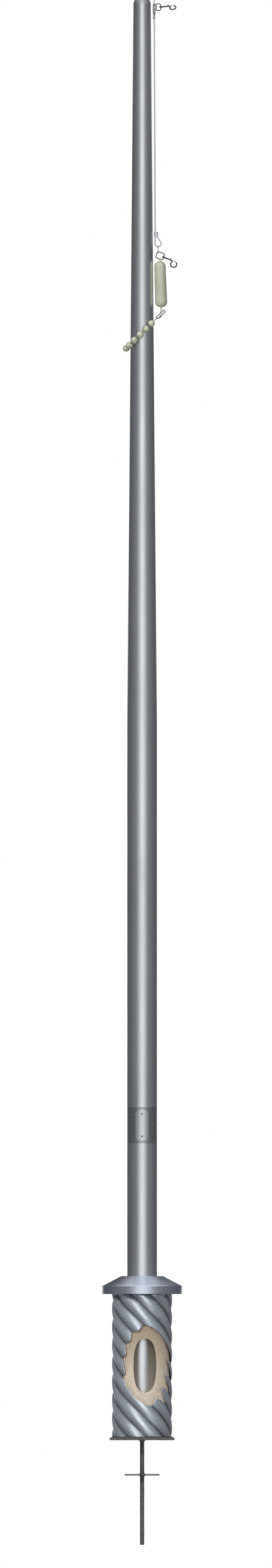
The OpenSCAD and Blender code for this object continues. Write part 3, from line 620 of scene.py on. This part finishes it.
# ---------------------------------------------------------------- halyard and its fittings
def along_halyard():
    """The cable's route: up the axis, over the sheave, down, round the loop to the ferrule."""
    stub_z, sheave_z, pitch = 6.486, 6.6595, 0.0305
    leg, tail, foot = 0.0666, 0.0752, 5.385        # the two runs in the ferrule, and its lower end
    cx, cz, r = 0.0815, 5.350, 0.0155              # the loop

    def tangent(x, side):
        dx, dz = x - cx, foot - cz
        return math.atan2(dz, dx) + side * math.acos(r / math.hypot(dx, dz))

    pts = [(0, 0, stub_z), (0, 0, sheave_z - 0.01)]
    pts += [(pitch - pitch * math.cos(a), 0, sheave_z + pitch * math.sin(a))
            for a in np.linspace(0, math.pi, 40)]
    pts += [(leg, 0, foot + 0.012)]
    pts += [(cx + r * math.cos(a), 0, cz + r * math.sin(a))
            for a in np.linspace(tangent(leg, 1), tangent(tail, -1) + TAU, 60)]
    pts += [(tail, 0, foot + 0.003), (tail, 0, foot + 0.021)]
    return pts


verts, faces = rope(resample(along_halyard(), 0.0022), radius=0.0039, depth=0.09, lay=0.040,
                    segs=24)
piece("halyard_rope", verts, faces, M["cable"], "truck", ("halyard",), 75.0)


def build_ferrule():
    """An oval sleeve, pressed in two bands."""
    low, high, mid, radius, apart = 5.3867, 5.4098, 0.0709, 0.0065, 0.0043
    rows, cols = 48, 72
    verts = []
    for z in np.linspace(low, high, rows):
        f = (z - low) / (high - low)
        press = 0.0007 * (math.exp(-((f - 0.3) / 0.09) ** 2) + math.exp(-((f - 0.7) / 0.09) ** 2))
        end = 0.0009 * max(0.0, 1 - min(f, 1 - f) / 0.06) ** 2
        for j in range(cols):
            a = TAU * j / cols
            c, s = math.cos(a), math.sin(a)
            r = radius - press * abs(s) - end
            shift = 0.0 if abs(c) <= 0.02 else math.copysign(apart, c)
            verts.append((mid + (shift + r * c), r * s, z))
    return piece("pressed_ferrule", verts, grid_faces(rows, cols) + end_caps(rows, cols),
                 M["ferrule"], "truck", ("halyard_ferrule",), 40.0)


build_ferrule()


# ---------------------------------------------------------------- counterweight
def leaning(verts, top_x, top_z, lean):
    """Points below the origin, moved to hang below (top_x, top_z) at a lean in degrees."""
    v = np.asarray(verts, float)
    a = math.radians(-lean)
    x = v[:, 0] * math.cos(a) + v[:, 2] * math.sin(a) + top_x
    z = -v[:, 0] * math.sin(a) + v[:, 2] * math.cos(a) + top_z
    return np.stack([x, v[:, 1], z], axis=1)


def build_weight():
    """A vinyl-dipped weight, slightly wider below, with a moulding seam and soft unevenness."""
    top_x, top_z, lean = 0.0906234, 5.26137, 1.75
    rt, rb, length, neck, bend = 0.029, 0.031, 0.235, 0.010, 0.026
    prof = [(0.0004, 0.0), (0.0078, 0.0), (0.0092, -0.0006), (0.0098, -0.0022)]
    for i in range(1, 25):
        a = math.radians(90 * i / 24)
        prof.append((neck + (rt - neck) * math.sin(a), -0.004 - bend * (1 - math.cos(a))))
    for i in range(1, 40):
        f = i / 40
        prof.append((rt + (rb - rt) * f, -0.030 - (length - 0.057) * f))
    for i in range(0, 25):
        a = math.radians(90 * i / 24)
        prof.append((neck + (rb - neck) * math.cos(a),
                     -length + 0.001 + bend * (1 - math.sin(a))))
    prof.append((0.0004, -length + 0.0008))
    steps, verts = 96, []
    for r, z in prof:
        near_axis = min(1.0, r / 0.02)      # fades the unevenness out at the axis
        for j in range(steps):
            a = TAU * j / steps
            sag = 0.0006 * noise.noise((math.cos(a) * 1.6, math.sin(a) * 1.6, z * 16))
            seam = 0.00035 * math.exp(-(math.sin(a) * 30) ** 2)
            uneven = r - 0.0006 * near_axis + (sag + seam) * near_axis
            verts.append((uneven * math.cos(a), uneven * math.sin(a), z))
    faces = [f[::-1] for f in grid_faces(len(prof), steps) + end_caps(len(prof), steps)]
    return piece("vinyl_weight", leaning(verts, top_x, top_z, lean), faces, M["vinyl"],
                 "truck", ("counterweight",), 50.0)


build_weight()


# ---------------------------------------------------------------- retainer ring
BEAD_R = 18 * MM
RING_X, RING_Z = -0.003, 4.8935                     # middle of the ring
RING_HALF_X, RING_HALF_Y = 0.0803548, 0.0854548     # its half sizes seen from above
RING_TILT = math.radians(44.5)
FIRST_BEAD = math.radians(51)                       # angle from +X to the first bead


def ring_point(a):
    """The ring's line: an oval round the pole in a plane that drops to -X."""
    return np.array([RING_X + RING_HALF_X * math.cos(a), -RING_HALF_Y * math.sin(a),
                     RING_Z + RING_HALF_X * math.tan(RING_TILT) * math.cos(a)])


def bead_angles(count=12):
    """Angles of beads that are evenly spaced along the ring."""
    fine = np.linspace(FIRST_BEAD, TAU - FIRST_BEAD, 2000)
    run = run_along(np.array([ring_point(a) for a in fine]))
    return np.interp(np.linspace(0, run[-1], count), run, fine)


def build_beads():
    """Moulded beads with a hole along the ring, a seam round the middle and small dents."""
    parts = []
    hole, hole_end, cols = 0.0030, 0.0135, 56
    start = math.asin(hole / BEAD_R) * 1.35
    prof = [(hole, -hole_end)]
    prof += [(BEAD_R * math.sin(a), -BEAD_R * math.cos(a))
             for a in np.linspace(start, math.pi - start, 44)]
    prof += [(hole, hole_end)]
    for k, a in enumerate(bead_angles()):
        here = ring_point(a)
        axis = ring_point(a + 0.02) - ring_point(a - 0.02)
        axis /= np.linalg.norm(axis)
        side = np.cross(axis, (0, 0, 1))
        side /= np.linalg.norm(side)
        top = np.cross(axis, side)
        verts = []
        for q, (pr, ph) in enumerate(prof):
            seam = 0.00012 * math.exp(-(ph / 0.0006) ** 2)
            for j in range(cols):
                t = TAU * (j / cols) + 1.3 * k
                dent = 0.00018 * noise.noise((pr * 90 + k * 7, t * 1.3, ph * 90))
                rr = pr + (seam + dent if 0 < q < len(prof) - 1 else 0) - 0.0002
                verts.append(here + axis * ph + side * rr * math.cos(t) + top * rr * math.sin(t))
        parts.append((verts, grid_faces(len(prof), cols, wrap_rows=True)))
    verts, faces = join(parts)
    return piece("nylon_beads", verts, faces, M["nylon"], "truck",
                 ("retainer_beads",), 40.0)


build_beads()
loop = [ring_point(a) for a in np.linspace(0.03, TAU - 0.03, 300)]
verts, faces = rope(resample(loop, 0.0018), radius=0.0016, depth=0.16, lay=0.012, segs=18,
                    up=(0, 0, 1))
piece("retainer_rope", verts, faces, M["wire"], "truck", ("retainer_cable",), 75.0)


# ---------------------------------------------------------------- door and frame
def outline(half_w, half_l, corner, count=36):
    """Points of a rounded rectangle, with its straight sides divided too."""
    pts = []
    for k, (sx, sz) in enumerate(((1, 1), (-1, 1), (-1, -1), (1, -1))):
        cx, cz = sx * (half_w - corner), sz * (half_l - corner)
        for i in range(count // 3):
            a = math.radians(90 * k + 90 * i / (count // 3 - 1))
            pts.append((cx + corner * math.cos(a), cz + corner * math.sin(a)))
        nx, nz = ((-1, 1), (-1, -1), (1, -1), (1, 1))[k]
        end = (nx * (half_w if k % 2 else half_w - corner),
               nz * (half_l - corner if k % 2 else half_l))
        last = pts[-1]
        for i in range(1, count):
            f = i / count
            pts.append((last[0] + (end[0] - last[0]) * f, last[1] + (end[1] - last[1]) * f))
    return np.array(pts)


def saddle(name, node, size, hole, mat):
    """A rounded plate bent to the pole, its edges eased, with or without a rounded hole."""
    inner_r, ease = 76.5 * MM, 0.7 * MM
    out = outline(*size)
    core = outline(*hole) if hole else out * (0.02, 0.02)
    rings = [(out, 0.0, inner_r), (out, 0.0, DOOR_SEAT - ease),
             (out, 0.0, DOOR_SEAT - ease * 0.4), (out, ease * 0.4, DOOR_SEAT),
             (out, ease * 1.3, DOOR_SEAT)]
    rings += [(out * (1 - f) + core * f, 0.0, DOOR_SEAT)
              for f in np.linspace(0.12, 0.88 if hole else 1.0, 9)]
    if hole:
        rings += [(core, -ease * 1.3, DOOR_SEAT), (core, -ease * 0.4, DOOR_SEAT),
                  (core, 0.0, DOOR_SEAT - ease * 0.4), (core, 0.0, DOOR_SEAT - ease),
                  (core, 0.0, inner_r)]
    verts = []
    for pts, inset, r in rings:
        big = np.abs(pts).max(axis=0)
        for x, z in pts * (1 - inset / big):
            verts.append((x, -math.sqrt(r * r - x * x), DOOR_Z + z))
    n = len(out)
    faces = grid_faces(len(rings), n, wrap_rows=bool(hole))
    if not hole:
        faces += end_caps(len(rings), n)[::-1]
    return piece(name, verts, faces, mat, "mast", (node,), 35.0)


# size and hole: half width, half length, corner radius
saddle("reinforcing_frame", "door_frame", size=(0.0695, 0.0915, 0.006),
       hole=(0.037, 0.079, 0.0235), mat=M["frame"])
saddle("door_panel", "access_door", size=(0.0355, 0.0775, 0.022), hole=None,
       mat=M["door"])


# ---------------------------------------------------------------- screws
# radius and height above the seat, in mm, and whether the ring is hexagonal: up the socket,
# over the button head and down the shank
SCREW = [(0.0001, 0.9, True), (1.85, 0.9, True), (1.95, 2.35, True), (2.25, 2.6, False),
         (2.9, 2.6, False), (3.6, 2.42, False), (4.2, 1.95, False), (4.58, 1.2, False),
         (4.74, 0.4, False), (4.66, 0.0, False), (2.45, 0.0, False), (2.45, -13.4, False),
         (2.0, -14.2, False), (0.0001, -14.2, False)]
SCREW_STEPS, SOCKET_ROWS = 36, 2


def button_screw(angle, height):
    """A button head with a hexagon socket, pointing out of the pole at an angle from its front."""
    out = np.array([math.sin(angle), -math.cos(angle), 0.0])
    side, up = np.array([math.cos(angle), math.sin(angle), 0.0]), np.array([0, 0, 1.0])
    verts = []
    for r, h, hexagonal in SCREW:
        for j in range(SCREW_STEPS):
            a = TAU * j / SCREW_STEPS
            flat = 1 / math.cos((a % (TAU / 6)) - TAU / 12) if hexagonal else 1.0
            spoke = (side * math.cos(a) + up * math.sin(a)) * r * flat * MM
            verts.append(out * (DOOR_SEAT + h * MM) + spoke + up * height)
    return np.array(verts), grid_faces(len(SCREW), SCREW_STEPS)


def build_screws(name, node, places):
    verts, faces = join([button_screw(a, z) for a, z in places])
    obj = piece(name, verts, faces, M["screw"], "mast", (node,), 35.0)
    # the socket faces get the near-black painted shade
    obj.data.materials.append(M["socket"])
    faces_each, in_socket = len(faces) // len(places), SCREW_STEPS * SOCKET_ROWS
    for poly in obj.data.polygons:
        if poly.index % faces_each < in_socket:
            poly.material_index = 1
    return obj


frame_side, frame_step, door_reach = math.radians(44.6), 48 * MM, 0.057
build_screws("frame_button_screws", "door_frame_screws",
             [(side * frame_side, DOOR_Z + k * frame_step) for side in (-1, 1) for k in (-1, 0, 1)])
build_screws("door_button_screws", "door_screws",
             [(0.0, DOOR_Z - door_reach), (0.0, DOOR_Z + door_reach)])


# ---------------------------------------------------------------- plates, spike and welds
def plate(name, node, half, low, high, hole=0.0, sides=15):
    """A flame-cut plate: slightly wavy edges with small chamfers, and a hole for the spike."""
    ring = []
    for k in range(4):
        base = math.radians(90 * k)
        along = np.array([-math.sin(base), math.cos(base)])
        start = np.array([math.cos(base), math.sin(base)]) - along
        for i in range(sides):
            f = 0.012 + 0.976 * i / (sides - 1)
            ring.append((start + along * 2 * f) * half)
    ring = np.array(ring)
    n, chamfer = len(ring), 0.0012
    levels = [(low, chamfer), (low + chamfer, 0), ((low + high) / 2, 0), (high - chamfer, 0),
              (high, chamfer)]
    verts = []
    if hole:
        turn = np.arctan2(ring[:, 1], ring[:, 0])
        inner = np.stack([np.cos(turn), np.sin(turn)], axis=1) * hole
        levels = [(low, None)] + levels + [(high, None)]
    for z, inset in levels:
        for i in range(n):
            if inset is None:
                x, y = inner[i]
            else:
                wave = noise.noise((ring[i][0] * 70, ring[i][1] * 70, z * 400))
                x, y = ring[i] * (1 - (inset + 0.0005 * (1 + wave)) / half)
            verts.append((x, y, z))
    faces = grid_faces(len(levels), n, wrap_rows=bool(hole))
    if not hole:
        faces += end_caps(len(levels), n)
    return piece(name, verts, faces, M["plate"], "mast", (node,), 30.0)


plate("base_plate", "sleeve_base_plate", half=0.1655, low=-0.744, high=-0.7302)
plate("support_plate", "spike_support_plate", half=0.089, low=-0.924, high=-0.916, hole=0.0114)


SPIKE_R = 0.011


def build_spike():
    """A hot-rolled bar with a sheared, slightly mushroomed lower end."""
    low, high, r = -1.277, -0.7443, SPIKE_R
    rows = ([(0.0004, low), (r - 0.0022, low), (r - 0.0006, low + 0.0012), (r, low + 0.004)]
            + [(r, z) for z in np.linspace(low + 0.02, high - 0.004, 60)]
            + [(r, high), (0.0004, high)])
    verts, faces = lathe(rows, 40, closed=False)
    for v in verts:
        v[:2] *= 1 - 0.02 * (1 + noise.noise((v[0] * 90, v[1] * 90, v[2] * 30))) / 2
    return piece("spike_bar", verts, faces, M["plate"], "mast",
                 ("ground_spike",), 35.0)


def weld(name, radius, z, leg, up):
    """A fillet of weld metal round a bar or tube, with the ripples of its passes."""
    pitch, cols = 0.0045, 8
    ripples = max(24, int(TAU * radius / pitch))
    rings = ripples * 4
    verts = []
    for i in range(rings):
        a = TAU * i / rings
        swell = leg * (1 + 0.10 * (abs(math.sin(ripples * a / 2)) - 0.6)
                       + 0.08 * noise.noise((a * 4, z * 9, 2.0)))
        for j in range(cols):
            t = math.radians(90 * j / (cols - 1))
            bow = swell * (0.72 + 0.28 * math.sin(2 * t) ** 0.7)
            r, h = radius + bow * math.cos(t), up * bow * math.sin(t)
            verts.append((r * math.cos(a), r * math.sin(a), z + h))
        verts.append((radius * math.cos(a), radius * math.sin(a), z))
    cols += 1
    faces = grid_faces(rings, cols, wrap_rows=True)
    return piece(name, verts, faces, M["weld"], "mast", (), 60.0)


build_spike()
weld("spike_top_weld", SPIKE_R, z=-0.7441, leg=0.0055, up=-1)
weld("support_upper_weld", SPIKE_R, z=-0.9159, leg=0.0045, up=1)
weld("support_lower_weld", SPIKE_R, z=-0.9241, leg=0.0045, up=-1)
weld("sleeve_foot_weld", 0.1515, z=-0.7300, leg=0.0052, up=1)


# ---------------------------------------------------------------- finial ball
def build_ball():
    """Two spun halves joined at a fine rolled seam, on a short collar."""
    r, mid, steps = 0.076, 6.823, 120
    neck = math.asin(0.0155 / r)
    prof = [(0.0083, mid - r - 0.003), (0.0150, mid - r - 0.003), (0.0158, mid - r - 0.0022),
            (0.0160, mid - r * math.cos(neck) - 0.0006)]
    for t in np.linspace(neck * 1.12, math.pi - 0.004, 110):
        from_seam = t - math.pi / 2
        seam = 0.00022 * math.exp(-(from_seam / 0.012) ** 2)
        groove = 0.00035 * math.exp(-((abs(from_seam) - 0.022) / 0.007) ** 2)
        skin = r - 0.0003 + seam - groove
        prof.append((skin * math.sin(t), mid - skin * math.cos(t)))
    verts, faces = lathe(prof, steps, closed=False)
    faces.append(tuple(range((len(prof) - 1) * steps, len(prof) * steps)))
    piece("spun_ball", verts, faces, M["gold"], "truck", ("finial_ball",), 40.0)


build_ball()


# ---------------------------------------------------------------- CAD nodes that keep their shape
for key, names in {
        "shaft": ("shaft",),
        "cast": ("truck_socket", "truck_housing"),
        "bronze": ("truck_retaining_ring", "truck_sheave"),
        "bolt": ("sheave_pin", "finial_stem", "upper_snap_bolt", "lower_snap_bolt"),
        "clip": ("halyard_clip",),
        "snap": ("upper_snap_eye", "upper_snap_hook", "lower_snap_eye", "lower_snap_hook"),
        "vinyl": ("weight_strap", "weight_cord"),
        "zinc": ("connecting_link", "quick_link", "quick_link_nut")}.items():
    for name in names:
        dress(name, M[key])


# ---------------------------------------------------------------- stage and light
def add_floor():
    """A plain pale floor just under the spike, left out of the reflections."""
    low, half_side, gap = cad_bounds[0][2], 9, 0.0005
    bm = bmesh.new()
    bmesh.ops.create_grid(bm, x_segments=1, y_segments=1, size=half_side)
    mesh = bpy.data.meshes.new("floor")
    bm.to_mesh(mesh)
    bm.free()
    mesh.materials.append(material(
        "floor", lambda t: t.ramp(t.noise((2, 2, 2)), [(0, (0.86,) * 3), (1, (0.9,) * 3)]),
        lambda t: t.value(t.noise((3, 3, 3)), 0.8, 0.9), 0.0))
    obj = bpy.data.objects.new("floor", mesh)
    obj.location.z = low - gap
    obj.visible_glossy = False
    scene.collection.objects.link(obj)


def add_world():
    """White to the eye. As a light: a bright upright strip ahead and a narrow low one behind,
    dimmer sides, darker ground, and a soft panel overhead."""
    world = bpy.data.worlds.new("studio")
    scene.world = world
    world.use_nodes = True
    t = Tree(world.node_tree)
    way = t.add("SeparateXYZ", {"Vector": t.add("TexCoord").outputs["Generated"]})
    x, y, z = (way.outputs[k] for k in "XYZ")

    # ahead is 1 towards the camera's side and 0 behind; height is 0 straight down and 1 straight up
    level = t.maths("SQRT", t.maths("ADD", t.maths("MULTIPLY", x, x), t.maths("MULTIPLY", y, y)))
    turned = t.maths("ADD", t.maths("MULTIPLY", y, -1.0), t.maths("MULTIPLY", x, 0.02))
    ahead = t.value(t.maths("DIVIDE", turned, t.maths("MAXIMUM", level, 0.02)), 0.0, 1.0, -1.0, 1.0)
    round_about = t.ramp(ahead, [(0.0, (0.085, 0.088, 0.096)),
                                 (0.25, (0.115, 0.12, 0.131)), (0.5, (0.162, 0.168, 0.179)),
                                 (0.75, (0.222, 0.228, 0.24)), (0.88, (0.275, 0.285, 0.298)),
                                 (0.955, (0.55, 0.57, 0.585)), (0.985, (1.05, 1.07, 1.08)),
                                 (1.0, (1.30, 1.33, 1.35))])
    height = t.value(z, 0.0, 1.0, -1.0, 1.0)
    fall = t.ramp(height, [(0.0, (0.22,) * 3), (0.25, (0.30,) * 3), (0.42, (0.70,) * 3),
                           (0.5, (1,) * 3), (0.72, (0.80,) * 3), (0.86, (0.55,) * 3),
                           (1.0, (0.5,) * 3)])
    panel = t.ramp(height, [(0.85, (0.0,) * 3), (0.88, (0.28, 0.28, 0.30)),
                            (0.902, (0.85, 0.87, 0.92)), (0.93, (1.25, 1.28, 1.34)),
                            (1.0, (0.8, 0.81, 0.84))])
    behind = t.ramp(ahead, [(0.0, (1.3,) * 3), (0.02, (1.0,) * 3), (0.055, (0.18,) * 3),
                            (0.09, (0.0,) * 3)])
    low_only = t.ramp(height, [(0.2, (0.6,) * 3), (0.4, (1.0,) * 3), (0.49, (1.0,) * 3),
                               (0.54, (0.0,) * 3)])
    glow = t.mix(1.0, t.mix(1.0, round_about, fall, "MULTIPLY"), panel, "ADD")
    glow = t.mix(1.0, glow, t.mix(1.0, behind, low_only, "MULTIPLY"), "ADD")
    seen = t.add("LightPath").outputs["Is Camera Ray"]
    both = t.mix(seen, glow, (1.0, 1.0, 1.0))
    back = t.add("Background", {"Color": both, "Strength": 1.0})
    t.add("OutputWorld", {"Surface": back.outputs["Background"]})


def add_sun(name, strength, direction, angle, glossy=False):
    """A sun that shines along a direction; angle, in degrees, is how soft it is."""
    data = bpy.data.lights.new(name, "SUN")
    data.energy = strength
    data.angle = math.radians(angle)
    obj = bpy.data.objects.new(name, data)
    obj.rotation_euler = Vector(direction).to_track_quat("-Z", "Y").to_euler()
    obj.visible_glossy = glossy
    scene.collection.objects.link(obj)
    return obj


def add_gleam():
    """A small lamp, high on the left, that only the vinyl, nylon and rope catch."""
    shiny = bpy.data.collections.new("shiny")
    for name in ("vinyl_weight", "nylon_beads", "halyard_rope"):
        shiny.objects.link(bpy.data.objects[name])
    lamp = add_sun("gleam", 0.9, (0.95, 1.0, -0.95), 7, glossy=True)
    lamp.light_linking.receiver_collection = shiny


add_floor()
add_world()
add_sun("key", 2.7, (0.42, 1.0, -0.50), 10)
add_sun("fill", 0.5, (-0.8, 0.7, -0.2), 30)
add_sun("back", 0.9, (0.3, -1.0, -0.6), 30)
add_gleam()
scene.view_settings.view_transform = "Standard"
scene.view_settings.look = "None"
